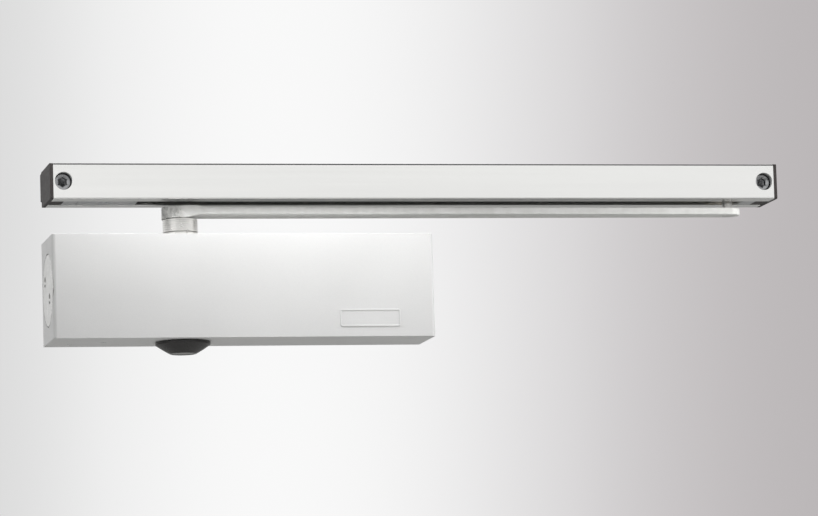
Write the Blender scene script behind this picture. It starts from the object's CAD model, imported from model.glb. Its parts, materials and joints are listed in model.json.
import json
import math
import bmesh
import bpy
import numpy as np
from mathutils import Matrix, Vector

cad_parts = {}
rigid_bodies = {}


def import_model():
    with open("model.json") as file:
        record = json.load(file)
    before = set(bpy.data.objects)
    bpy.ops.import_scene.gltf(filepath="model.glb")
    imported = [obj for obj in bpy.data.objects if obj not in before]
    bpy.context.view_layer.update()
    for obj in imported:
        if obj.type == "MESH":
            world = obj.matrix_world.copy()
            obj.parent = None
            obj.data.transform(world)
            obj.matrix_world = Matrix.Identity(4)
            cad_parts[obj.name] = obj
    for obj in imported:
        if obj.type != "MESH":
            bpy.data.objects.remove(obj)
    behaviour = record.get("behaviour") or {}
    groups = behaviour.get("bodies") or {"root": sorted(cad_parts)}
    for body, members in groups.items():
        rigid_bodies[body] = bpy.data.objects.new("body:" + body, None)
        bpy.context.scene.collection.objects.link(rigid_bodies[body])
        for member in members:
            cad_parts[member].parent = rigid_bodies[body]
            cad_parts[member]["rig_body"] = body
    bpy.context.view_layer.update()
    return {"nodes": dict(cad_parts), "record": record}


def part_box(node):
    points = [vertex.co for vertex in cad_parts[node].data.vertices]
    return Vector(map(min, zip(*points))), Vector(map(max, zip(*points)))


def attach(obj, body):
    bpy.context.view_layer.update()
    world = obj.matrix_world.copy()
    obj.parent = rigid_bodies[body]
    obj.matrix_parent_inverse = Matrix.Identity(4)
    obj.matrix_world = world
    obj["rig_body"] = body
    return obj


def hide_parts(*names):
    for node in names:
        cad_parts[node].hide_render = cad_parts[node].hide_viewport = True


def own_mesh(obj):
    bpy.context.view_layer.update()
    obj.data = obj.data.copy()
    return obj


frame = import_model()
print("frame loaded:", len(frame["nodes"]), "nodes")

# A slide arm door closer with the door shut. X runs along the door, Y into it and Z up.
# Sizes and places are in millimetres, and each mesh is written in metres.
mm = 0.001
axisNames = "xyz"
beyond = 1.0        # how far a cutter reaches past the face that it enters


# The lower and the upper corner of a CAD node.
def extent(node):
    low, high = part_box(node)
    return np.array(low) / mm, np.array(high) / mm


# Each vector over its own length.
def unit(vectors):
    return vectors / np.linalg.norm(vectors, axis=-1, keepdims=True)


# From 0 to 1 between two places, level at both ends: 3t² - 2t³.
def smoothStep(value, start, end):
    t = np.clip((value - start) / (end - start), 0, 1)
    return t * t * (3 - 2 * t)


# Rings of points, each joined to the next by quads round the ring. The row's two ends
# are closed by flat faces where they are capped.
def ringSurface(rings, capped=True):
    count, steps = rings.shape[:2]
    index = np.arange(count * steps).reshape(count, steps)
    here, over = index[:-1], index[1:]
    quads = np.stack([here, np.roll(here, -1, 1), np.roll(over, -1, 1), over], -1)
    faces = quads.reshape(-1, 4).tolist()
    if capped:
        faces += [index[0].tolist(), index[-1].tolist()]
    return rings.reshape(-1, 3), faces


# One piece from its surfaces, its doubles merged and its faces turned outwards.
def makePiece(name, *surfaces, mergeGap=0.001):
    starts = np.cumsum([0] + [len(points) for points, faces in surfaces]).tolist()
    points = np.vstack([points for points, faces in surfaces]) * mm
    faces = [[corner + start for corner in face]
             for start, surface in zip(starts, surfaces) for face in surface[1]]
    mesh = bpy.data.meshes.new(name)
    mesh.from_pydata(points.tolist(), [], faces)
    work = bmesh.new()
    work.from_mesh(mesh)
    bmesh.ops.remove_doubles(work, verts=work.verts, dist=mergeGap * mm)
    bmesh.ops.recalc_face_normals(work, faces=work.faces)
    work.to_mesh(mesh)
    work.free()
    piece = bpy.data.objects.new(name, mesh)
    bpy.context.scene.collection.objects.link(piece)
    return piece


# Cuts the cutters' space out of a piece, and removes the cutters.
def carve(piece, *surfaces):
    cutters = [makePiece("cutter", surface) for surface in surfaces]
    for cutter in cutters:
        cut = piece.modifiers.new("cut", "BOOLEAN")
        cut.operation = "DIFFERENCE"
        cut.solver = "EXACT"
        cut.object = cutter
    graph = bpy.context.evaluated_depsgraph_get()
    mesh = bpy.data.meshes.new_from_object(piece.evaluated_get(graph))
    piece.modifiers.clear()
    piece.data = mesh
    mesh.name = piece.name
    for cutter in cutters:
        bpy.data.objects.remove(cutter)
    return piece


# Shades a piece smoothly, except at edges sharper than this angle.
def shadeEvenly(piece, sharpDegrees=30):
    piece.data.shade_smooth()
    piece.data.set_sharp_from_angle(angle=math.radians(sharpDegrees))
    even = piece.modifiers.new("evenShading", "WEIGHTED_NORMAL")
    even.keep_sharp = True


# Takes a CAD node's slivers together and rounds its sharp edges, all by modifiers.
def breakEdges(node, width, segments=2, weldGap=0.002, flatDegrees=0.5, sharpDegrees=35):
    piece = frame["nodes"][node]
    weld = piece.modifiers.new("weld", "WELD")
    weld.merge_threshold = weldGap * mm
    flat = piece.modifiers.new("flats", "DECIMATE")
    flat.decimate_type = "DISSOLVE"
    flat.angle_limit = math.radians(flatDegrees)
    edge = piece.modifiers.new("edges", "BEVEL")
    edge.width = width * mm
    edge.segments = segments
    edge.limit_method = "ANGLE"
    edge.angle_limit = math.radians(sharpDegrees)
    piece.modifiers.new("evenShading", "WEIGHTED_NORMAL")


# A closed outline whose corners are arcs. Each arc starts at its radius over the tangent
# of half the corner's angle, and turns evenly about a centre on the bisector.
def roundedOutline(corners, radii, steps=6):
    corners = np.array(corners, float)
    radii = np.broadcast_to(np.array(radii, float), len(corners))[:, None]
    before = unit(np.roll(corners, 1, 0) - corners)
    after = unit(np.roll(corners, -1, 0) - corners)
    half = np.arccos(np.clip((before * after).sum(1), -1, 1))[:, None] / 2
    centre = corners + unit(before + after) * radii / np.sin(half)
    start = corners + before * radii / np.tan(half) - centre
    end = corners + after * radii / np.tan(half) - centre
    sweep = (np.pi - 2 * half)[:, None]
    share = np.linspace(0, 1, steps + 1)[None, :, None]
    arcs = np.sin((1 - share) * sweep) * start[:, None] + np.sin(share * sweep) * end[:, None]
    return (centre[:, None] + arcs / np.sin(sweep)).reshape(-1, 2)


# Rectangles stacked along an axis. Each level is (inset, place on the axis), and the
# corner arcs shrink with the inset.
def stacked(low, high, axis, corner, levels, steps=8):
    plane = [number for number in range(3) if axisNames[number] != axis]
    rings = []
    for inset, place in levels:
        (left, foot), (right, top) = low[plane] + inset, high[plane] - inset
        corners = [(left, foot), (right, foot), (right, top), (left, top)]
        outline = roundedOutline(corners, np.maximum(corner - inset, 0), steps)
        rings.append(np.insert(outline, axisNames.index(axis), place, axis=1))
    return ringSurface(np.array(rings))


# Levels that round an edge of a stack: at the angle a the inset is r(1 - sin a), and the
# depth behind the end is r(1 - cos a).
def roundedLevels(radius, end, inward, steps=8):
    angle = np.linspace(0, np.pi / 2, steps + 1)
    depth = inward * radius * (1 - np.cos(angle))
    return np.stack([radius * (1 - np.sin(angle)), end + depth], 1)


# A profile of (radius, place on the axis) turned about an axis: at the turn angle a it
# lies at radius·cos a and radius·sin a across the axis. A form may change the radius.
def turned(profile, centre, axis, steps=96, form=None, capped=True):
    radius, along = np.array(profile, float).T[:, :, None] * np.ones(steps)
    angle = np.linspace(0, 2 * np.pi, steps, endpoint=False) + np.zeros_like(radius)
    if form is not None:
        radius = form(radius, along, angle)
    across = [radius * np.cos(angle), radius * np.sin(angle)]
    if axis == "y":
        across.reverse()        # anticlockwise about this axis too, so a thread stays right-handed
    across.insert(axisNames.index(axis), along)
    return ringSurface(np.stack(across, -1) + np.array(centre, float), capped)


# A round cutter that enters through a face and rounds the hole's rim: at the angle a its
# radius is r + lip(1 - sin a), at lip(1 - cos a) behind the face.
def roundCutter(radius, centre, axis, face, inward, depth, lip, steps=96):
    rim = [(radius + inset, place) for inset, place in roundedLevels(lip, face, inward, 6)]
    outside, inside = face - inward * beyond, face + inward * depth
    profile = [(0, outside), (radius + lip, outside), *rim, (radius, inside), (0, inside)]
    return turned(profile, centre, axis, steps)


# A square prism between two heights: its corners lie half its width to each side.
def squareCutter(across, centre, low, high):
    half = across / 2
    corners = np.array([(-half, -half), (half, -half), (half, half), (-half, half)]) + centre
    return ringSurface(np.stack([np.insert(corners, 2, z, axis=1) for z in (low, high)]))


# Unevenness from 0 to 1: sine waves of several lengths, added up. Wave n runs along
# (cos t, sin t, sin 1.7t) at t = 1 + 2.4n.
def unevenness(points, waveLengths):
    total = np.zeros(points.shape[:-1])
    for number, length in enumerate(waveLengths):
        turn = 1 + 2.4 * number
        direction = np.array([math.cos(turn), math.sin(turn), math.sin(1.7 * turn)])
        total += np.sin(2 * np.pi * (points @ direction) / length + turn)
    return 0.5 + 0.5 * total / len(waveLengths)


# A socket screw as one turned profile from its socket to its point, at distances behind
# its head's face. The socket ends in a cone of 30°, as its drill left it. At the turn
# angle a the socket's radius is corner·cos 30° over cos((a mod 60°) - 30°), the knurl's is
# radius - depth·(1 + sin(teeth·a)) / 2, and the thread's falls from its crest by
# depth·|1 - 2·frac(place / pitch - a / 360°)|.
def socketScrew(values, centre, axis, headFace, inward, steps=120, pitchSteps=8):
    corner, drillAngle = values["socket"] / math.sqrt(3), math.radians(30)
    head, edge, shank = values["headRadius"], values["edge"], values["shankRadius"]
    headEnd = values["headHeight"]
    shankEnd = headEnd + values["shankLength"]
    threadEnd = shankEnd + values["threadLength"]
    threadPlaces = np.arange(shankEnd, threadEnd, values["pitch"] / pitchSteps)
    socketEnd = values["socketDepth"]
    drillPoint = (0, socketEnd + corner * math.tan(drillAngle))
    kinds = {"hex": [drillPoint, (corner, socketEnd), (corner, edge)],
             "face": [(corner + edge, 0), (head - edge, 0)],
             "knurl": [(head, edge), (head, headEnd - edge)],
             "shank": [(head - edge, headEnd), (shank, headEnd), (shank, shankEnd)],
             "thread": [(values["threadRadius"], place) for place in threadPlaces],
             "point": [(values["threadRadius"] - values["threadDepth"], threadEnd),
                       (0, threadEnd + values["pointLength"])]}
    profile = [point for points in kinds.values() for point in points]
    kind = np.array([name for name, points in kinds.items() for point in points])[:, None]

    def form(radius, along, angle):
        hexagon = radius * math.cos(np.pi / 6) / np.cos(angle % (np.pi / 3) - np.pi / 6)
        knurl = radius - values["knurlDepth"] * (1 + np.sin(values["knurlTeeth"] * angle)) / 2
        phase = (along / values["pitch"] - angle / (2 * np.pi)) % 1
        thread = radius - values["threadDepth"] * np.abs(1 - 2 * phase)
        return np.select([kind == "hex", kind == "knurl", kind == "thread"],
                         [hexagon, knurl, thread], radius)

    places = [(radius, headFace + inward * distance) for radius, distance in profile]
    return turned(places, centre, axis, steps, form)


# An sRGB hex colour as linear values.
def linearColour(code):
    values = np.array([int(code[place:place + 2], 16) for place in (1, 3, 5)]) / 255
    values = np.where(values <= 0.04045, values / 12.92, ((values + 0.055) / 1.055) ** 2.4)
    return (*values.tolist(), 1)


# Adds a node with its settings, and its inputs by name or number: a value or a link.
def addNode(tree, kind, settings, inputs):
    node = tree.nodes.new(kind)
    for name, value in settings.items():
        setattr(node, name, value)
    for name, value in inputs.items():
        if isinstance(value, bpy.types.NodeSocket):
            tree.links.new(value, node.inputs[name])
        else:
            node.inputs[name].default_value = value
    return node


# A finish starts as a Principled shader with plain values. Its patterns are laid on the
# mesh's own coordinates, in metres.
def startFinish(name, colour, metallic, roughness, **values):
    material = bpy.data.materials.new(name)
    material.use_nodes = True
    tree = material.node_tree
    shader = tree.nodes["Principled BSDF"]
    plain = {"Base Color": linearColour(colour), "Metallic": metallic, "Roughness": roughness}
    for socket, value in {**plain, **values}.items():
        shader.inputs[socket].default_value = value
    place = addNode(tree, "ShaderNodeTexCoord", {}, {}).outputs["Object"]
    return material, tree, shader, place


# A soft random value from low to high, in patches of this size, or of these sizes along
# X, Y and Z. The noise itself keeps mostly between 0.3 and 0.7.
def patches(tree, place, sizes, low=0.0, high=1.0, detail=2.0):
    scales = (1 / (np.broadcast_to(sizes, 3) * mm)).tolist()
    scaled = addNode(tree, "ShaderNodeMapping", {}, {"Vector": place, "Scale": scales}).outputs[0]
    noise = addNode(tree, "ShaderNodeTexNoise", {},
                    {"Vector": scaled, "Scale": 1.0, "Detail": detail}).outputs[0]
    ends = {"From Min": 0.3, "From Max": 0.7, "To Min": low, "To Max": high}
    return addNode(tree, "ShaderNodeMapRange", {}, {"Value": noise, **ends}).outputs[0]


# One colour or link at share 0, and the other at share 1.
def blend(tree, share, first, second):
    colours = {"Fac": share, "Color1": first, "Color2": second}
    return addNode(tree, "ShaderNodeMixRGB", {}, colours).outputs[0]


# Lets the colour drift between two tones, in patches of these sizes.
def driftColour(tree, shader, place, sizes, first, second):
    tone = blend(tree, patches(tree, place, sizes), linearColour(first), linearColour(second))
    tree.links.new(tone, shader.inputs["Base Color"])
    return tone


# Lets the roughness drift from low to high in the same way.
def driftRoughness(tree, shader, place, sizes, low, high):
    tree.links.new(patches(tree, place, sizes, low, high), shader.inputs["Roughness"])


# Raises the surface by patterns, each with its depth in millimetres.
def raiseSurface(tree, shader, *reliefs):
    normal = {}
    for height, depth in reliefs:
        bump = addNode(tree, "ShaderNodeBump", {}, {"Height": height, "Distance": depth * mm, **normal})
        normal = {"Normal": bump.outputs[0]}
    tree.links.new(normal["Normal"], shader.inputs["Normal"])


# Fine rings as a turning tool leaves them: waves of the distance from an axis through the
# spindle's middle, which show on end faces, and patches that are short along that axis and
# long across it. They are coarser than a real tool's lines, so that they show.
def turnedLines(tree, place, axis, pitch, lineLength=300.0):
    middle = [value * mm for value in spindleCentre]
    centred = addNode(tree, "ShaderNodeMapping", {"vector_type": "TEXTURE"},
                      {"Vector": place, "Location": middle}).outputs[0]
    waveScale = 2 * math.pi / 20 / (pitch * mm)     # this texture has 20 radians a unit
    rings = addNode(tree, "ShaderNodeTexWave",
                    {"wave_type": "RINGS", "rings_direction": axis.upper()},
                    {"Vector": centred, "Scale": waveScale, "Distortion": 1.5,
                     "Detail": 1.0}).outputs["Fac"]
    sizes = [pitch if letter == axis else lineLength for letter in axisNames]
    lines = patches(tree, place, sizes)
    return addNode(tree, "ShaderNodeMath", {"operation": "ADD"}, {0: rings, 1: lines}).outputs[0]


# Silver stoved enamel, sprayed on a die casting: aluminium flake in a satin lacquer. It
# gives the eye an even pale silver, with a faint sparkle and a softly dimpled sheen.
def silverStovedEnamel():
    material, tree, shader, place = startFinish("silverStovedEnamel", "#dcdcda", 0.18, 0.42)
    tone = driftColour(tree, shader, place, 70, "#dededc", "#d8d8d6")
    flakeSize = 0.35        # ten times a real flake's, so that it shows
    flake = addNode(tree, "ShaderNodeTexVoronoi", {},
                    {"Vector": place, "Scale": 1 / (flakeSize * mm)}).outputs["Color"]
    mixed = addNode(tree, "ShaderNodeMixRGB", {"blend_type": "OVERLAY"},
                    {"Fac": 0.05, "Color1": tone, "Color2": flake}).outputs[0]
    grey = addNode(tree, "ShaderNodeHueSaturation", {}, {"Color": mixed, "Saturation": 0.25}).outputs[0]
    tree.links.new(grey, shader.inputs["Base Color"])
    driftRoughness(tree, shader, place, 12, 0.38, 0.47)
    raiseSurface(tree, shader, (patches(tree, place, 1.6), 0.006))
    return material


# The same enamel over a sand casting that was only fettled: the skin's pits and lumps
# stay, coarser at the eye, where the casting is thick.
def silverCastingEnamel():
    material, tree, shader, place = startFinish("silverCastingEnamel", "#d8d8d6", 0.2, 0.44)
    driftColour(tree, shader, place, 5, "#dadad8", "#d0d0cd")
    driftRoughness(tree, shader, place, 3, 0.38, 0.56)
    lumps = patches(tree, place, 2.4, detail=3.0)
    pits = patches(tree, place, 1.5, detail=4.0)
    grit = patches(tree, place, 0.45)
    lumpsEnd, lumpsFull = 2, -2     # places along the arm
    along = addNode(tree, "ShaderNodeSeparateXYZ", {}, {"Vector": place}).outputs["X"]
    ends = {"From Min": lumpsEnd * mm, "From Max": lumpsFull * mm}
    cast = addNode(tree, "ShaderNodeMapRange", {}, {"Value": along, **ends}).outputs[0]
    coarse = addNode(tree, "ShaderNodeMath", {"operation": "MULTIPLY"}, {0: lumps, 1: cast}).outputs[0]
    raiseSurface(tree, shader, (coarse, 0.8), (pits, 0.03), (grit, 0.02))
    return material


# Aluminium 6063, extruded, etched and anodised natural: a satin metal whose fine die
# lines run along the rail, so that its highlights spread across it. The lines and the
# etched grain are coarser than real ones, so that they show.
def satinAnodisedAluminium():
    material, tree, shader, place = startFinish("satinAnodisedAluminium", "#ededeb", 1.0, 0.22)
    driftColour(tree, shader, place, (260, 9, 9), "#eeeeec", "#ebebe9")
    dieLines = patches(tree, place, (240, 0.5, 0.5))
    driftRoughness(tree, shader, place, (180, 0.8, 0.8), 0.19, 0.25)
    etch = patches(tree, place, 0.4)
    raiseSurface(tree, shader, (dieLines, 0.004), (etch, 0.002))
    return material


# Pressure die cast aluminium, shot blasted: a dull light grey with a fine even grain.
def blastedCastAluminium():
    material, tree, shader, place = startFinish("blastedCastAluminium", "#b9b9b7", 1.0, 0.5)
    driftColour(tree, shader, place, 14, "#bfbfbd", "#aeaeac")
    driftRoughness(tree, shader, place, 6, 0.46, 0.6)
    raiseSurface(tree, shader, (patches(tree, place, 0.5), 0.03))
    return material


# Bar aluminium turned in a lathe: bright, with rings about the axis of the bore.
def turnedAluminium():
    material, tree, shader, place = startFinish("turnedAluminium", "#bebebc", 1.0, 0.3)
    lines = turnedLines(tree, place, "x", 0.5)
    driftColour(tree, shader, place, 9, "#c2c2c0", "#b6b6b4")
    driftRoughness(tree, shader, place, 4, 0.26, 0.38)
    raiseSurface(tree, shader, (lines, 0.006))
    return material


# Zinc alloy, hot chamber die cast and tumbled: smooth, bluish and a little cloudy.
def tumbledZincCasting():
    material, tree, shader, place = startFinish("tumbledZincCasting", "#c3c4c4", 1.0, 0.36)
    driftColour(tree, shader, place, 6, "#c9caca", "#b6b8b9")
    driftRoughness(tree, shader, place, 3, 0.3, 0.46)
    raiseSurface(tree, shader, (patches(tree, place, 1.2), 0.012))
    return material


# Steel with bright passivated zinc plate: a clear bluish metal, glossier than the
# castings, that shows the screws' edges as small glints.
def brightZincPlate():
    material, tree, shader, place = startFinish("brightZincPlate", "#cdd0d3", 1.0, 0.24)
    driftColour(tree, shader, place, 4, "#d3d6d8", "#bfc4c9")
    driftRoughness(tree, shader, place, 2, 0.2, 0.32)
    raiseSurface(tree, shader, (patches(tree, place, 0.8), 0.006))
    return material


# Steel with zinc plate under a grey passivation, as the screws in the rail's recesses
# look: a mid grey metal with a soft sheen, darker in its socket.
def greyZincPlate():
    material, tree, shader, place = startFinish("greyZincPlate", "#a9aaab", 1.0, 0.34)
    driftColour(tree, shader, place, 3, "#b0b1b2", "#9c9d9f")
    driftRoughness(tree, shader, place, 2, 0.28, 0.42)
    raiseSurface(tree, shader, (patches(tree, place, 0.6), 0.008))
    return material


# Steel turned and ground, lightly oiled: a mid grey metal with rings about its own axis.
def turnedSteel(name, axis):
    material, tree, shader, place = startFinish(name, "#e0dfdc", 1.0, 0.32)
    lines = turnedLines(tree, place, axis, 0.45)
    driftColour(tree, shader, place, 5, "#e3e2df", "#d9d8d5")
    driftRoughness(tree, shader, place, 3, 0.26, 0.38)
    raiseSurface(tree, shader, (lines, 0.012))
    return material


# Silicon steel spring wire, oil tempered and shot peened: dark, dimpled and half matt.
def peenedSpringSteel():
    material, tree, shader, place = startFinish("peenedSpringSteel", "#6d6c6b", 1.0, 0.42)
    driftColour(tree, shader, place, 7, "#757473", "#5c5b5b")
    driftRoughness(tree, shader, place, 2, 0.36, 0.5)
    raiseSurface(tree, shader, (patches(tree, place, 0.4), 0.02))
    return material


# Sintered bronze, oil filled: warm and dull, its pores drawn coarse enough to show.
def sinteredBronze():
    material, tree, shader, place = startFinish("sinteredBronze", "#a9814f", 1.0, 0.48)
    driftColour(tree, shader, place, 0.6, "#b08a58", "#8f6c40")
    driftRoughness(tree, shader, place, 1, 0.42, 0.58)
    raiseSurface(tree, shader, (patches(tree, place, 0.3), 0.02))
    return material


# Free cutting brass, turned: yellow and bright, with rings about the bore's axis.
def turnedBrass():
    material, tree, shader, place = startFinish("turnedBrass", "#c9a862", 1.0, 0.26)
    lines = turnedLines(tree, place, "x", 0.3)
    driftColour(tree, shader, place, 3, "#cfae69", "#bb9a55")
    driftRoughness(tree, shader, place, 2, 0.22, 0.34)
    raiseSurface(tree, shader, (lines, 0.006))
    return material


# Nitrile rubber, compression moulded: black, matt and very slightly grainy.
def nitrileRubber():
    material, tree, shader, place = startFinish("nitrileRubber", "#242322", 0.0, 0.62, IOR=1.52)
    driftColour(tree, shader, place, 5, "#292827", "#1e1d1d")
    driftRoughness(tree, shader, place, 2, 0.55, 0.72)
    raiseSurface(tree, shader, (patches(tree, place, 0.5), 0.015))
    return material


# Polyamide with glass fibre, moulded in a spark eroded tool: a warm dark grey with a
# fine even grain that keeps it half matt.
def grainedGreyPolyamide():
    material, tree, shader, place = startFinish("grainedGreyPolyamide", "#302c2b", 0.0, 0.64)
    driftColour(tree, shader, place, 8, "#332f2e", "#2c2827")
    driftRoughness(tree, shader, place, 2, 0.6, 0.69)
    raiseSurface(tree, shader, (patches(tree, place, 0.35), 0.02))
    return material


# ABS moulded in a polished tool: black with a broad soft gloss, and shallow flow marks.
# The cap's end face is glossier, as its ejector left it, and shows pale from low down. The
# gloss fades out between these heights over the cap's foot.
endFace = {"fullGloss": 0.4, "noGloss": 0.6, "roughness": 0.06}


def blackMouldedAbs():
    material, tree, shader, place = startFinish("blackMouldedAbs", "#1f1d1c", 0.0, 0.3, IOR=1.54)
    driftColour(tree, shader, place, 9, "#22201f", "#1b1919")
    gloss = patches(tree, place, 4, 0.26, 0.38)
    foot = extent("spindle_end_cap")[0][2]
    height = addNode(tree, "ShaderNodeSeparateXYZ", {}, {"Vector": place}).outputs["Z"]
    ends = {"From Min": (foot + endFace["noGloss"]) * mm, "From Max": (foot + endFace["fullGloss"]) * mm}
    face = addNode(tree, "ShaderNodeMapRange", {}, {"Value": height, **ends}).outputs[0]
    roughness = addNode(tree, "ShaderNodeMapRange", {},
                        {"Value": face, "To Min": gloss, "To Max": endFace["roughness"]}).outputs[0]
    tree.links.new(roughness, shader.inputs["Roughness"])
    raiseSurface(tree, shader, (patches(tree, place, (5, 5, 1.2)), 0.012))
    return material


# Acetal, moulded natural: a milky off-white with a waxy sheen.
def naturalAcetal():
    material, tree, shader, place = startFinish("naturalAcetal", "#d9d6cc", 0.0, 0.38, IOR=1.48)
    driftColour(tree, shader, place, 6, "#dedbd2", "#d0cdc3")
    driftRoughness(tree, shader, place, 3, 0.33, 0.45)
    raiseSurface(tree, shader, (patches(tree, place, 2), 0.01))
    return material


spindleLow, spindleHigh = extent("pinion_spindle")
spindleY = (spindleLow[1] + spindleHigh[1]) / 2
spindleCentre = (0, spindleY, 0)

finishes = {
    "cover_paint": silverStovedEnamel(),
    "badge_paint": silverStovedEnamel(),
    "arm_paint": silverCastingEnamel(),
    "rail_aluminium": satinAnodisedAluminium(),
    "cast_aluminium": blastedCastAluminium(),
    "machined_aluminium": turnedAluminium(),
    "zinc_die_cast": tumbledZincCasting(),
    "zinc_plated_steel": brightZincPlate(),
    "machined_steel": turnedSteel("turnedSteelUpright", "z"),
    "spring_steel": peenedSpringSteel(),
    "bearing_bronze": sinteredBronze(),
    "valve_brass": turnedBrass(),
    "seal_rubber": nitrileRubber(),
    "cap_plastic": grainedGreyPolyamide(),
    "black_plastic": blackMouldedAbs(),
    "slider_plastic": naturalAcetal(),
}
lyingSteel = turnedSteel("turnedSteelLying", "x")        # turned about the bore
slots = {part["node"]: part["material_slot"] for part in frame["record"]["subparts"]}
for node, piece in frame["nodes"].items():
    piece.data.materials.clear()
    piece.data.materials.append(finishes[slots[node]])
for node in ("rack_piston", "spring_seat", "adjusting_screw"):
    frame["nodes"][node].data.materials[0] = lyingSteel
print("finishes made:", len(finishes) + 1)


# Puts a new piece in the place of a CAD node: on its body, in its slot and its finish.
def standFor(piece, node, finish=None):
    piece.data.materials.clear()
    piece.data.materials.append(finish or finishes[slots[node]])
    shadeEvenly(piece)
    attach(piece, frame["nodes"][node]["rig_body"])
    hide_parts(node)
    print("made", piece.name)


# The cover: a die cast shell, open at the back, with soft outer edges.
cover = {
    "cornerRadius": 2.2,
    "edgeRadius": 0.2,
    "wall": 1.5,
    "insideCorner": 0.5,
    "leftWindow": 21.5,
    "rightWindow": 20.4,
    "windowLip": 0.15,
    "collarGap": 0.3,
    "collarLip": 0.35,
    "screwPlaces": ((-65.4, -11.7), (-46.8, -22.2)),
    "screwHole": 1.7,
    "screwLip": 0.3,
}


def coverShell():
    low, high = extent("cover")
    edge, wall = cover["edgeRadius"], cover["wall"]
    through, windowDepth = 2 * wall, 1.05 * wall
    levels = [*roundedLevels(edge, low[2], 1), *roundedLevels(edge, high[2], -1)[::-1]]
    corners = np.array([cover["cornerRadius"], cover["cornerRadius"], 0, 0])
    shell = makePiece("coverShell", stacked(low, high, "z", corners, levels))
    inner = [(0, low[1] + wall), (0, high[1] + beyond)]
    cutters = [stacked(low + wall, high - wall, "y", cover["insideCorner"], inner)]
    for side, face, inward in (("leftWindow", low[0], 1), ("rightWindow", high[0], -1)):
        cutters.append(roundCutter(cover[side], spindleCentre, "x", face, inward, windowDepth,
                                   cover["windowLip"], 128))
    mouth = extent("spindle_collar")[1][0] + cover["collarGap"]
    for face, inward in ((low[2], 1), (high[2], -1)):
        cutters.append(roundCutter(mouth, spindleCentre, "z", face, inward, through, cover["collarLip"]))
    for x, y in cover["screwPlaces"]:
        cutters.append(roundCutter(cover["screwHole"], (x, y, 0), "z", low[2], 1, through,
                                   cover["screwLip"], 32))
    standFor(carve(shell, *cutters), "cover")


# The left end plug: a disc that fills the cover's window, a flange on the housing's end
# and a spigot in its bore, with a countersunk hole over each valve.
plug = {
    "coverStep": 0.05,
    "discRadius": 21.05,
    "discEdge": 0.15,
    "discHeight": 1.4,
    "spigotRadius": 16.9,
    "spigotLength": 16.0,
    "holePlay": 0.1,
    "sinkWidth": 0.65,
    "sinkDepth": 1.1,
}


def leftEndPlug():
    low, high = extent("left_end_plug")
    face, inner = extent("cover")[0][0] + plug["coverStep"], high[0]
    flange, disc, edge = (high[2] - low[2]) / 2, plug["discRadius"], plug["discEdge"]
    discEnd = face + plug["discHeight"]
    spigot, shoulder = plug["spigotRadius"], inner - plug["spigotLength"]
    profile = [(0, face), (disc - edge, face), (disc, face + edge), (disc, discEnd), (flange, discEnd),
               (flange, shoulder), (spigot, shoulder), (spigot, inner), (0, inner)]
    cutters = []
    for node in ("closing_speed_valve", "latching_valve"):
        valveLow, valveHigh = extent(node)
        hole = (valveHigh[2] - valveLow[2]) / 2 + plug["holePlay"]
        mouth = hole + plug["sinkWidth"]
        sink = [(0, face - beyond), (mouth, face - beyond), (mouth, face), (hole, face + plug["sinkDepth"]),
                (hole, inner + beyond), (0, inner + beyond)]
        cutters.append(turned(sink, (valveLow + valveHigh) / 2 * (0, 1, 1), "x", 48))
    solid = makePiece("leftEndPlug", turned(profile, spindleCentre, "x", 128))
    standFor(carve(solid, *cutters), "left_end_plug")


# The nameplate field: a raised rim round a bare panel.
badge = {"corner": 1.2, "rimWidth": 0.8, "rimRound": 0.18, "fieldDepth": 0.28}


def badgeFrame():
    low, high = extent("badge_plate")
    front, back = low[1], high[1]
    rim, roundness = badge["rimWidth"], badge["rimRound"]
    field = front + badge["fieldDepth"]
    levels = [(0, back), *roundedLevels(roundness, front, 1, 4)[::-1]]
    levels += [(rim - inset, place) for inset, place in roundedLevels(roundness, front, 1, 4)]
    levels += [(rim, field), (rim + roundness, field)]
    standFor(makePiece("badgeFrame", stacked(low, high, "y", badge["corner"], levels, 10)), "badge_plate")


# The arm: an eye and a flat bar cast in one, with rounded edges and an uneven skin.
arm = {
    "eyeRadius": 11.1,
    "tipRadius": 7.3,
    "edgeRadius": 0.5,
    "barTop": 47.9,
    "barBottom": 43.7,
    "topStart": 8.5,
    "topEnd": 14.0,
    "rampStart": 0.0,
    "rampEnd": 11.5,
    "eyeLumps": 0.55,
    "barLumps": 0.06,
    "lumpStart": 1.5,
    "lumpEnd": -2.0,
    "waveLengths": (2.6, 3.3, 3.9, 4.7, 5.9, 7.3),
    "pinHole": 3.05,
    "counterboreRadius": 7.0,
    "counterboreLip": 0.4,
    "squareHole": 9.9,
    "flatShrink": 0.12,
    "points": {"tip": 49, "eye": 97, "side": 290, "flat": 7, "round": 6, "wall": 6},
}


# The outline of two circles joined by their tangents, whose touching points lie at the
# angle acos((eye - tip) / length) from the bar's line. A point of a circle lies at
# radius·cos a and radius·sin a from its centre.
def armOutline(eye, tip, length):
    side, count = math.acos((eye - tip) / length), arm["points"]
    tipAngle = np.linspace(-side, side, count["tip"])
    eyeAngle = np.linspace(side, 2 * np.pi - side, count["eye"])
    tipArc = np.stack([length + tip * np.cos(tipAngle), tip * np.sin(tipAngle)], 1)
    eyeArc = np.stack([eye * np.cos(eyeAngle), eye * np.sin(eyeAngle)], 1)
    share = np.linspace(0, 1, count["side"])[1:-1, None]
    farSide = tipArc[-1] + share * (eyeArc[0] - tipArc[-1])
    nearSide = eyeArc[-1] + share * (tipArc[0] - eyeArc[-1])
    return np.vstack([tipArc, farSide, eyeArc, nearSide])


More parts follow.
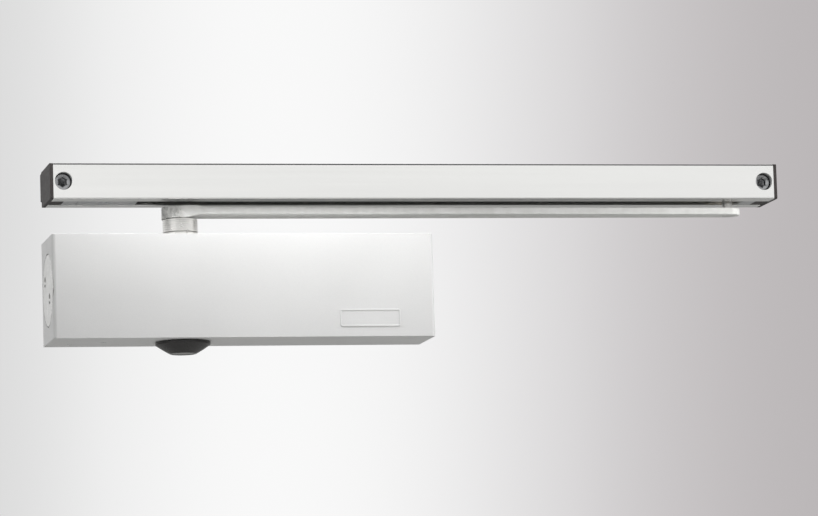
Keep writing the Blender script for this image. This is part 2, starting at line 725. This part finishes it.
# The skin's rows run from the middle of the foot over the side to the middle of the top.
# Each is the outline with its radii drawn in, at a tilt t from the level: the radii are
# (r - edge + edge·cos t)(1 - shrink), the height is the core's plus edge·sin t, and the
# skin sinks along its normal by the unevenness.
def leverArm():
    low, high = extent("lever_arm")
    pinLow, pinHigh = extent("slider_pin")
    length = (pinLow[0] + pinHigh[0]) / 2
    eye, tip, edge, count = arm["eyeRadius"], arm["tipRadius"], arm["edgeRadius"], arm["points"]
    flat, level = np.linspace(1, arm["flatShrink"], count["flat"]), np.linspace(0, 1, count["wall"])[1:-1]
    arc = np.linspace(0, np.pi / 2, count["round"])
    tilt = np.concatenate([0 * flat - np.pi / 2, arc - np.pi / 2, 0 * level, arc, 0 * flat + np.pi / 2])
    shrink = np.concatenate([flat, 0 * arc, 0 * level, 0 * arc, flat[::-1]])
    core = np.concatenate([0 * flat, 0 * arc, level, 1 + 0 * arc, 1 + 0 * flat])
    outward = unit(armOutline(eye, tip, length) - armOutline(1.0, 1.0, length))
    rows = []
    for t, share, lift in zip(tilt, shrink, core):
        drawn = edge - edge * math.cos(t)
        radii = [(radius - drawn) * (1 - share) + 1e-6 for radius in (eye, tip)]        # never quite 0
        plan = armOutline(*radii, length)
        along = plan[:, 0]
        foot = low[2] + (arm["barBottom"] - low[2]) * smoothStep(along, arm["rampStart"], arm["rampEnd"])
        top = high[2] + (arm["barTop"] - high[2]) * smoothStep(along, arm["topStart"], arm["topEnd"])
        height = foot + edge + lift * (top - foot - 2 * edge) + edge * math.sin(t)
        normal = np.column_stack([outward * math.cos(t), np.full(len(plan), math.sin(t))])
        points = np.column_stack([plan, height])
        cast = 1 - smoothStep(along, arm["lumpEnd"], arm["lumpStart"])
        depth = arm["barLumps"] + (arm["eyeLumps"] - arm["barLumps"]) * cast
        rows.append(points - normal * (depth * unevenness(points, arm["waveLengths"]))[:, None])
    skin = ringSurface(np.array(rows) + spindleCentre, capped=False)
    seatDepth, hole, above = high[2] - extent("arm_washer")[0][2], arm["pinHole"], high[2] + beyond
    cutters = [
        roundCutter(arm["counterboreRadius"], spindleCentre, "z", high[2], -1, seatDepth,
                    arm["counterboreLip"]),
        squareCutter(arm["squareHole"], (0, spindleY), low[2] - beyond, high[2]),
        turned([(0, low[2]), (hole, low[2]), (hole, above), (0, above)], (length, spindleY, 0), "z", 48),
    ]
    standFor(carve(makePiece("leverArm", skin), *cutters), "lever_arm")


# The collar on the spindle: a turned ring whose tool marks catch the light.
collar = {"chamfer": 0.3, "linePitch": 1.3, "lineDepth": 0.12, "linePoints": 90, "squareHole": 9.9}


# The radius falls by depth·cos⁸(π·place / pitch) in each tool mark.
def spindleCollar():
    low, high = extent("spindle_collar")
    radius, chamfer = high[0], collar["chamfer"]
    place = np.linspace(low[2] + chamfer, high[2] - chamfer, collar["linePoints"])
    side = radius - collar["lineDepth"] * np.cos(np.pi * place / collar["linePitch"]) ** 8
    face = radius - chamfer
    profile = [(0, low[2]), (face, low[2]), *zip(side, place), (face, high[2]), (0, high[2])]
    ring = makePiece("spindleCollar", turned(profile, spindleCentre, "z", 128))
    cutter = squareCutter(collar["squareHole"], (0, spindleY), low[2] - beyond, high[2] + beyond)
    standFor(carve(ring, cutter), "spindle_collar")


# The cap over the spindle's lower end: a short rim, bulging sides and a dished end. Its
# rounds are given in the order of its profile, from the dish over the rim to the inside.
endCap = {
    "rimHeight": 1.8,
    "flatRadius": 7.7,
    "dishWidth": 0.9,
    "dishDepth": 0.2,
    "bulge": 0.12,
    "wall": 1.2,
    "gripRadius": 10.35,
    "gripDepth": 2.35,
    "roomRadius": 7.33,
    "dishRounds": (0.3, 0.12),
    "footRound": 0.5,
    "sideRound": 14.0,
    "rimRounds": (0.35, 0.35),
    "gripRounds": (0.2, 0.1),
    "roomRounds": (0.2, 0.3),
}


def spindleEndCap():
    low, high = extent("spindle_end_cap")
    rim, top, bottom = high[0], high[2], low[2]
    rimLow, flat = top - endCap["rimHeight"], endCap["flatRadius"]
    dish, dishEdge = endCap["dishDepth"], flat - endCap["dishWidth"]
    grip, gripEnd = endCap["gripRadius"], top - endCap["gripDepth"]
    room, roomEnd = endCap["roomRadius"], bottom + endCap["wall"]
    middle = ((rim + flat) / 2 + endCap["bulge"], (rimLow + bottom) / 2 - endCap["bulge"])
    corners = [(0, bottom + dish), (dishEdge, bottom + dish), (dishEdge + dish, bottom), (flat, bottom),
               middle, (rim, rimLow), (rim, top), (grip, top), (grip, gripEnd), (room, gripEnd),
               (room, roomEnd), (0, roomEnd)]
    radii = [0, *endCap["dishRounds"], endCap["footRound"], endCap["sideRound"], *endCap["rimRounds"],
             *endCap["gripRounds"], *endCap["roomRounds"], 0]
    cap = makePiece("spindleEndCap", turned(roundedOutline(corners, radii, 8), spindleCentre, "z", 128))
    standFor(cap, "spindle_end_cap")


# The rail: an extrusion like a letter C turned to open downwards.
rail = {
    "frontTopRadius": 1.5,
    "frontFootRadius": 0.6,
    "rearRadius": 1.0,
    "lipRadius": 0.5,
    "insideRadius": 0.4,
    "sideWall": 2.2,
    "topWall": 2.0,
    "lipHeight": 1.8,
    "slotFront": 7.0,
    "slotBack": 10.0,
    "accessRadius": 5.0,
    "accessLip": 0.35,
    "screwHole": 2.7,
    "screwLip": 0.1,
}


# Where the rail's screws stand along it, and their height.
def railScrewPlaces():
    low, high = extent("rail_screws")
    head = (high[2] - low[2]) / 2
    return (low[0] + head, high[0] - head), (low[2] + high[2]) / 2


def railExtrusion():
    low, high = extent("rail_profile")
    (front, foot), (back, top) = low[1:], high[1:]
    slotFront, slotBack = [(front + back) / 2 + side for side in (-rail["slotFront"], rail["slotBack"])]
    lipTop, roof = foot + rail["lipHeight"], top - rail["topWall"]
    insideFront, insideBack = front + rail["sideWall"], back - rail["sideWall"]
    corners = [(front, foot), (slotFront, foot), (slotFront, lipTop), (insideFront, lipTop),
               (insideFront, roof), (insideBack, roof), (insideBack, lipTop), (slotBack, lipTop),
               (slotBack, foot), (back, foot), (back, top), (front, top)]
    lip, inside = rail["lipRadius"], rail["insideRadius"]
    radii = [rail["frontFootRadius"], lip, lip, inside, inside, inside, inside, lip, lip,
             rail["rearRadius"], rail["rearRadius"], rail["frontTopRadius"]]
    section = roundedOutline(corners, radii, 8)
    profile = ringSurface(np.stack([np.insert(section, 0, x, axis=1) for x in (low[0], high[0])]))
    screwX, screwZ = railScrewPlaces()
    through = 2 * rail["sideWall"]
    cutters = []
    for x in screwX:
        centre = (x, 0, screwZ)
        cutters += [roundCutter(rail["accessRadius"], centre, "y", front, 1, through, rail["accessLip"], 64),
                    roundCutter(rail["screwHole"], centre, "y", back, -1, through, rail["screwLip"], 32)]
    standFor(carve(makePiece("railExtrusion", profile), *cutters), "rail_profile")


# The rail's screws: socket cap screws in the rail's recesses, with coarse threads.
railScrew = {
    "socket": 5.0,
    "socketDepth": 3.2,
    "headRadius": 4.9,
    "headHeight": 5.0,
    "edge": 0.35,
    "knurlTeeth": 30,
    "knurlDepth": 0.12,
    "shankRadius": 2.5,
    "shankLength": 33.0,
    "threadRadius": 2.1,
    "threadDepth": 0.45,
    "threadLength": 17.0,
    "pitch": 1.8,
    "pointLength": 3.0,
}


def railScrews():
    headFace = extent("rail_screws")[0][1]
    screwX, screwZ = railScrewPlaces()
    screws = [socketScrew(railScrew, (x, 0, screwZ), "y", headFace, 1) for x in screwX]
    standFor(makePiece("railScrews", *screws), "rail_screws", greyZincPlate())


# The arm's screw: a low head in the eye's counterbore, its thread in the spindle.
armScrew = {
    "socket": 4.0,
    "socketDepth": 1.0,
    "headRadius": 5.0,
    "headHeight": 2.0,
    "edge": 0.3,
    "knurlTeeth": 30,
    "knurlDepth": 0.0,
    "shankRadius": 3.0,
    "shankLength": 2.0,
    "threadRadius": 3.0,
    "threadDepth": 0.5,
    "threadLength": 12.3,
    "pitch": 1.0,
    "pointLength": 0.5,
}


def armScrewPiece():
    headFace = extent("arm_screw")[1][2]
    screw = socketScrew(armScrew, spindleCentre, "z", headFace, -1)
    standFor(makePiece("armScrew", screw), "arm_screw")


# The slider's pin: riveted over under the arm, grooved for its clip above.
pin = {"headDome": 0.8, "holePlay": 0.05, "chamfer": 0.4, "grooveFloor": 2.6, "groovePlay": 0.1}


# The rivet's head is a flat dome: its height falls by dome·(1 - cos a), its radius is
# head·sin a.
def sliderPin():
    low, high = extent("slider_pin")
    clipLow, clipHigh = extent("pin_clip")
    length, head = (low[0] + high[0]) / 2, (high[0] - low[0]) / 2
    shank, floor = arm["pinHole"] - pin["holePlay"], pin["grooveFloor"]
    angle = np.linspace(0, np.pi / 2, 10)
    dome = zip(head * np.sin(angle), low[2] + pin["headDome"] * (1 - np.cos(angle)))
    grooveLow, grooveHigh = clipLow[2] - pin["groovePlay"], clipHigh[2] + pin["groovePlay"]
    groove = [(shank, grooveLow), (floor, grooveLow), (floor, grooveHigh), (shank, grooveHigh)]
    profile = [*dome, (shank, arm["barBottom"]), *groove, (shank, high[2] - pin["chamfer"]),
               (shank - pin["chamfer"], high[2]), (0, high[2])]
    standFor(makePiece("sliderPin", turned(profile, (length, spindleY, 0), "z", 64)), "slider_pin")


# The closing springs: round wire wound about the bore, with closed and ground ends.
springs = {
    "outerSpring": {"node": "outer_spring", "wire": 4.0, "turns": 9},
    "innerSpring": {"node": "inner_spring", "wire": 2.8, "turns": 12},
}
winding = {"closedPitch": 1.03, "closedTurns": 0.6, "openTurns": 1.4, "turnSteps": 64, "wireSteps": 16}


# The pitch is about a wire's width at the ends and opens to what fills the length, so the
# wire's centre lies at the sum of the pitches up to it, and at coil·cos a and coil·sin a
# about the bore. At the angle b round the wire a point lies radius·cos b outwards and
# radius·sin b along the bore, as far as the ground ends let it.
def coilSpring(name):
    values = springs[name]
    low, high = extent(values["node"])
    radius, turns = values["wire"] / 2, values["turns"]
    coil = (high[2] - low[2]) / 2 - radius
    turn = np.linspace(0, turns, winding["turnSteps"] * turns + 1)
    opened = smoothStep(np.minimum(turn, turns - turn), winding["closedTurns"], winding["openTurns"])
    gained = np.concatenate([[0], np.cumsum(opened[1:] + opened[:-1])])
    closed = values["wire"] * winding["closedPitch"]
    spare = high[0] - low[0] - radius - closed * turns
    centre = low[0] + radius / 2 + closed * turn + spare * gained / gained[-1]
    angle = 2 * np.pi * turn[:, None]
    around = np.linspace(0, 2 * np.pi, winding["wireSteps"], endpoint=False)
    along = np.clip(centre[:, None] + radius * np.sin(around), low[0], high[0])
    across = coil + radius * np.cos(around)
    wire = np.stack([along, spindleY + across * np.cos(angle), across * np.sin(angle)], -1)
    spring = makePiece(name, ringSurface(wire))
    standFor(spring, values["node"])
    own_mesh(spring)


coverShell()
leftEndPlug()
badgeFrame()
leverArm()
spindleCollar()
spindleEndCap()
railExtrusion()
railScrews()
armScrewPiece()
sliderPin()
for name in springs:
    coilSpring(name)

# Broken edges of the nodes that keep their CAD shape, by their width in millimetres.
brokenEdges = {
    0.8: ("housing", "stop_buffer"),
    0.4: ("mounting_plate", "spring_seat", "slider_block", "left_fixing_block", "right_fixing_block",
          "left_rail_bracket", "right_rail_bracket", "stop_block"),
    0.35: ("right_end_plug", "left_rail_cap", "right_rail_cap"),
    0.3: ("housing_screws", "upper_bearing_cap", "lower_bearing_cap"),
    0.25: ("rack_piston", "adjusting_screw"),
    0.2: ("slider_bush", "stop_screw"),
    0.15: ("arm_washer", "closing_speed_valve", "latching_valve"),
    0.12: ("cover_screws", "pin_clip"),
}
for width, nodes in brokenEdges.items():
    for node in nodes:
        breakEdges(node, width)
print("edges broken:", sum(len(nodes) for nodes in brokenEdges.values()), "nodes")

# The camera looks up at the closer from below and from the left of its middle.
camera = {
    "place": (-418.91, -2538.33, -312.92),
    "yaw": 12.47,
    "pitch": 7.337,
    "roll": -1.79,
    "lens": 192.415,
    "sensor": 36.0,
    "clip": (50.0, 60000.0),
}


# Rolled about its own line, pitched up, and then turned to the right.
def cameraTurn():
    yaw, pitch, roll = [math.radians(camera[key]) for key in ("yaw", "pitch", "roll")]
    upright = Matrix.Rotation(-yaw, 4, "Z") @ Matrix.Rotation(math.pi / 2 + pitch, 4, "X")
    return upright @ Matrix.Rotation(roll, 4, "Z")


def addCamera():
    data = bpy.data.cameras.new("camera")
    data.lens = camera["lens"]
    data.sensor_width = camera["sensor"]
    data.clip_start, data.clip_end = [distance * mm for distance in camera["clip"]]
    view = bpy.data.objects.new("camera", data)
    bpy.context.scene.collection.objects.link(view)
    view.matrix_world = Matrix.Translation(Vector(camera["place"]) * mm) @ cameraTurn()
    bpy.context.scene.camera = view


# Softboxes: places and sizes in millimetres, power in watts. Only the wide cards behind
# the side boxes mirror in the metals, as soft weak reflections.
lamps = {
    "softboxAbove": {"place": (42, -105, 125), "aim": (60, -46, 0),
                     "size": (260, 80), "power": 0.46, "mirror": False},
    "softboxRight": {"place": (520, -230, 30), "aim": (240, -30, 46),
                     "size": (160, 160), "power": 1.05, "mirror": False},
    "softboxLeft": {"place": (-1350, -1000, 100), "aim": (60, 0, 20),
                    "size": (600, 1000), "power": 1.7, "mirror": False},
    "cardLeft": {"place": (-1420, -1050, 104), "aim": (60, 0, 20),
                 "size": (1000, 1300), "power": 1.6, "mirror": True},
    "softboxFarRight": {"place": (2200, -600, 250), "aim": (0, 0, 30),
                        "size": (700, 700), "power": 0.4, "mirror": False},
    "cardFarRight": {"place": (2290, -625, 259), "aim": (0, 0, 30),
                     "size": (1000, 1100), "power": 1.8, "mirror": True},
}


def addLamp(name):
    values = lamps[name]
    data = bpy.data.lights.new(name, "AREA")
    data.shape = "RECTANGLE"
    data.size, data.size_y = [side * mm for side in values["size"]]
    data.energy = values["power"]
    lamp = bpy.data.objects.new(name, data)
    bpy.context.scene.collection.objects.link(lamp)
    place, aim = Vector(values["place"]), Vector(values["aim"])
    lamp.location = place * mm
    lamp.rotation_euler = (aim - place).to_track_quat("-Z", "Y").to_euler()
    lamp.visible_camera = False
    lamp.visible_glossy = values["mirror"]


# The backdrop is a plain studio curve, pale in the middle and greyer to the right, as
# seen past the closer. Elsewhere the room is plain and pale. Overhead it looks darker, but
# most of the soft light comes from there. The overhead's edge is given by the sine of the
# height, and the backdrop's by the cosine of the angle to the camera's line.
studio = {
    "backdrop": ((0.0, "#d9d9d9"), (0.13, "#efefef"), (0.30, "#fbfbfb"), (0.50, "#f6f6f6"),
                 (0.70, "#d8d6d7"), (0.86, "#c3bfc0"), (1.0, "#bab6b7")),
    "room": "#ffffff",
    "overhead": "#454546",
    "overheadEdge": (0.62, 0.8),
    "backdropEdge": (0.9, 0.985),
    "softLight": "#5c5c5c",
    "softLightAbove": "#dedede",
    "floor": "#e2e2e0",
    "floorHeight": -360.0,
    "floorRings": (0, 500, 2000, 20000),
}


# How far a value has come between the two ends of an edge, from 0 to 1.
def softEdge(tree, value, edge):
    return addNode(tree, "ShaderNodeMapRange", {"interpolation_type": "SMOOTHSTEP"},
                   {"Value": value, "From Min": edge[0], "From Max": edge[1]}).outputs[0]


def studioWorld():
    world = bpy.data.worlds.new("studio")
    bpy.context.scene.world = world
    world.use_nodes = True
    tree = world.node_tree
    shade = tree.nodes["Background"]
    direction = addNode(tree, "ShaderNodeTexCoord", {}, {}).outputs["Generated"]
    turn = cameraTurn().to_3x3()
    dots = [addNode(tree, "ShaderNodeVectorMath", {"operation": "DOT_PRODUCT"},
                    {0: direction, 1: axis}).outputs["Value"]
            for axis in (turn.col[0], -turn.col[2], Vector((0, 0, 1)))]
    slope = addNode(tree, "ShaderNodeMath", {"operation": "DIVIDE"}, {0: dots[0], 1: dots[1]}).outputs[0]
    half = camera["sensor"] / 2 / camera["lens"]
    across = addNode(tree, "ShaderNodeMapRange", {},
                     {"Value": slope, "From Min": -half, "From Max": half}).outputs[0]
    ramp = addNode(tree, "ShaderNodeValToRGB", {}, {"Fac": across})
    ramp.color_ramp.interpolation = "B_SPLINE"
    stops = ramp.color_ramp.elements
    for place, colour in studio["backdrop"][1:-1]:
        stops.new(place)
    for stop, (place, colour) in zip(stops, studio["backdrop"]):
        stop.color = linearColour(colour)
    overhead = softEdge(tree, dots[2], studio["overheadEdge"])
    inView = softEdge(tree, dots[1], studio["backdropEdge"])
    room = blend(tree, overhead, linearColour(studio["room"]), linearColour(studio["overhead"]))
    soft = blend(tree, overhead, linearColour(studio["softLight"]), linearColour(studio["softLightAbove"]))
    paths = addNode(tree, "ShaderNodeLightPath", {}, {}).outputs
    direct = paths["Is Camera Ray"]
    for other in ("Is Glossy Ray", "Is Transmission Ray"):
        direct = addNode(tree, "ShaderNodeMath", {"operation": "MAXIMUM"},
                         {0: direct, 1: paths[other]}).outputs[0]
    light = blend(tree, direct, soft, blend(tree, inView, room, ramp.outputs[0]))
    tree.links.new(light, shade.inputs["Color"])


# A floor with a pale matt paint, faintly clouded, and clear from below.
def addFloor():
    profile = [(radius, studio["floorHeight"]) for radius in studio["floorRings"]]
    floor = makePiece("floor", turned(profile, (0, 0, 0), "z", 96, capped=False))
    if floor.data.polygons[0].normal.z < 0:
        floor.data.flip_normals()
    material, tree, shader, place = startFinish("paleFloorPaint", studio["floor"], 0.0, 0.8)
    driftColour(tree, shader, place, 900, "#e4e4e2", "#e0e0de")
    driftRoughness(tree, shader, place, 40, 0.75, 0.85)
    side = addNode(tree, "ShaderNodeNewGeometry", {}, {}).outputs["Backfacing"]
    clear = addNode(tree, "ShaderNodeBsdfTransparent", {}, {}).outputs[0]
    mixed = addNode(tree, "ShaderNodeMixShader", {}, {0: side, 1: shader.outputs[0], 2: clear}).outputs[0]
    tree.links.new(mixed, tree.nodes["Material Output"].inputs["Surface"])
    floor.data.materials.append(material)


addCamera()
for name in lamps:
    addLamp(name)
studioWorld()
addFloor()
bpy.context.scene.view_settings.view_transform = "Standard"
print("studio set up")
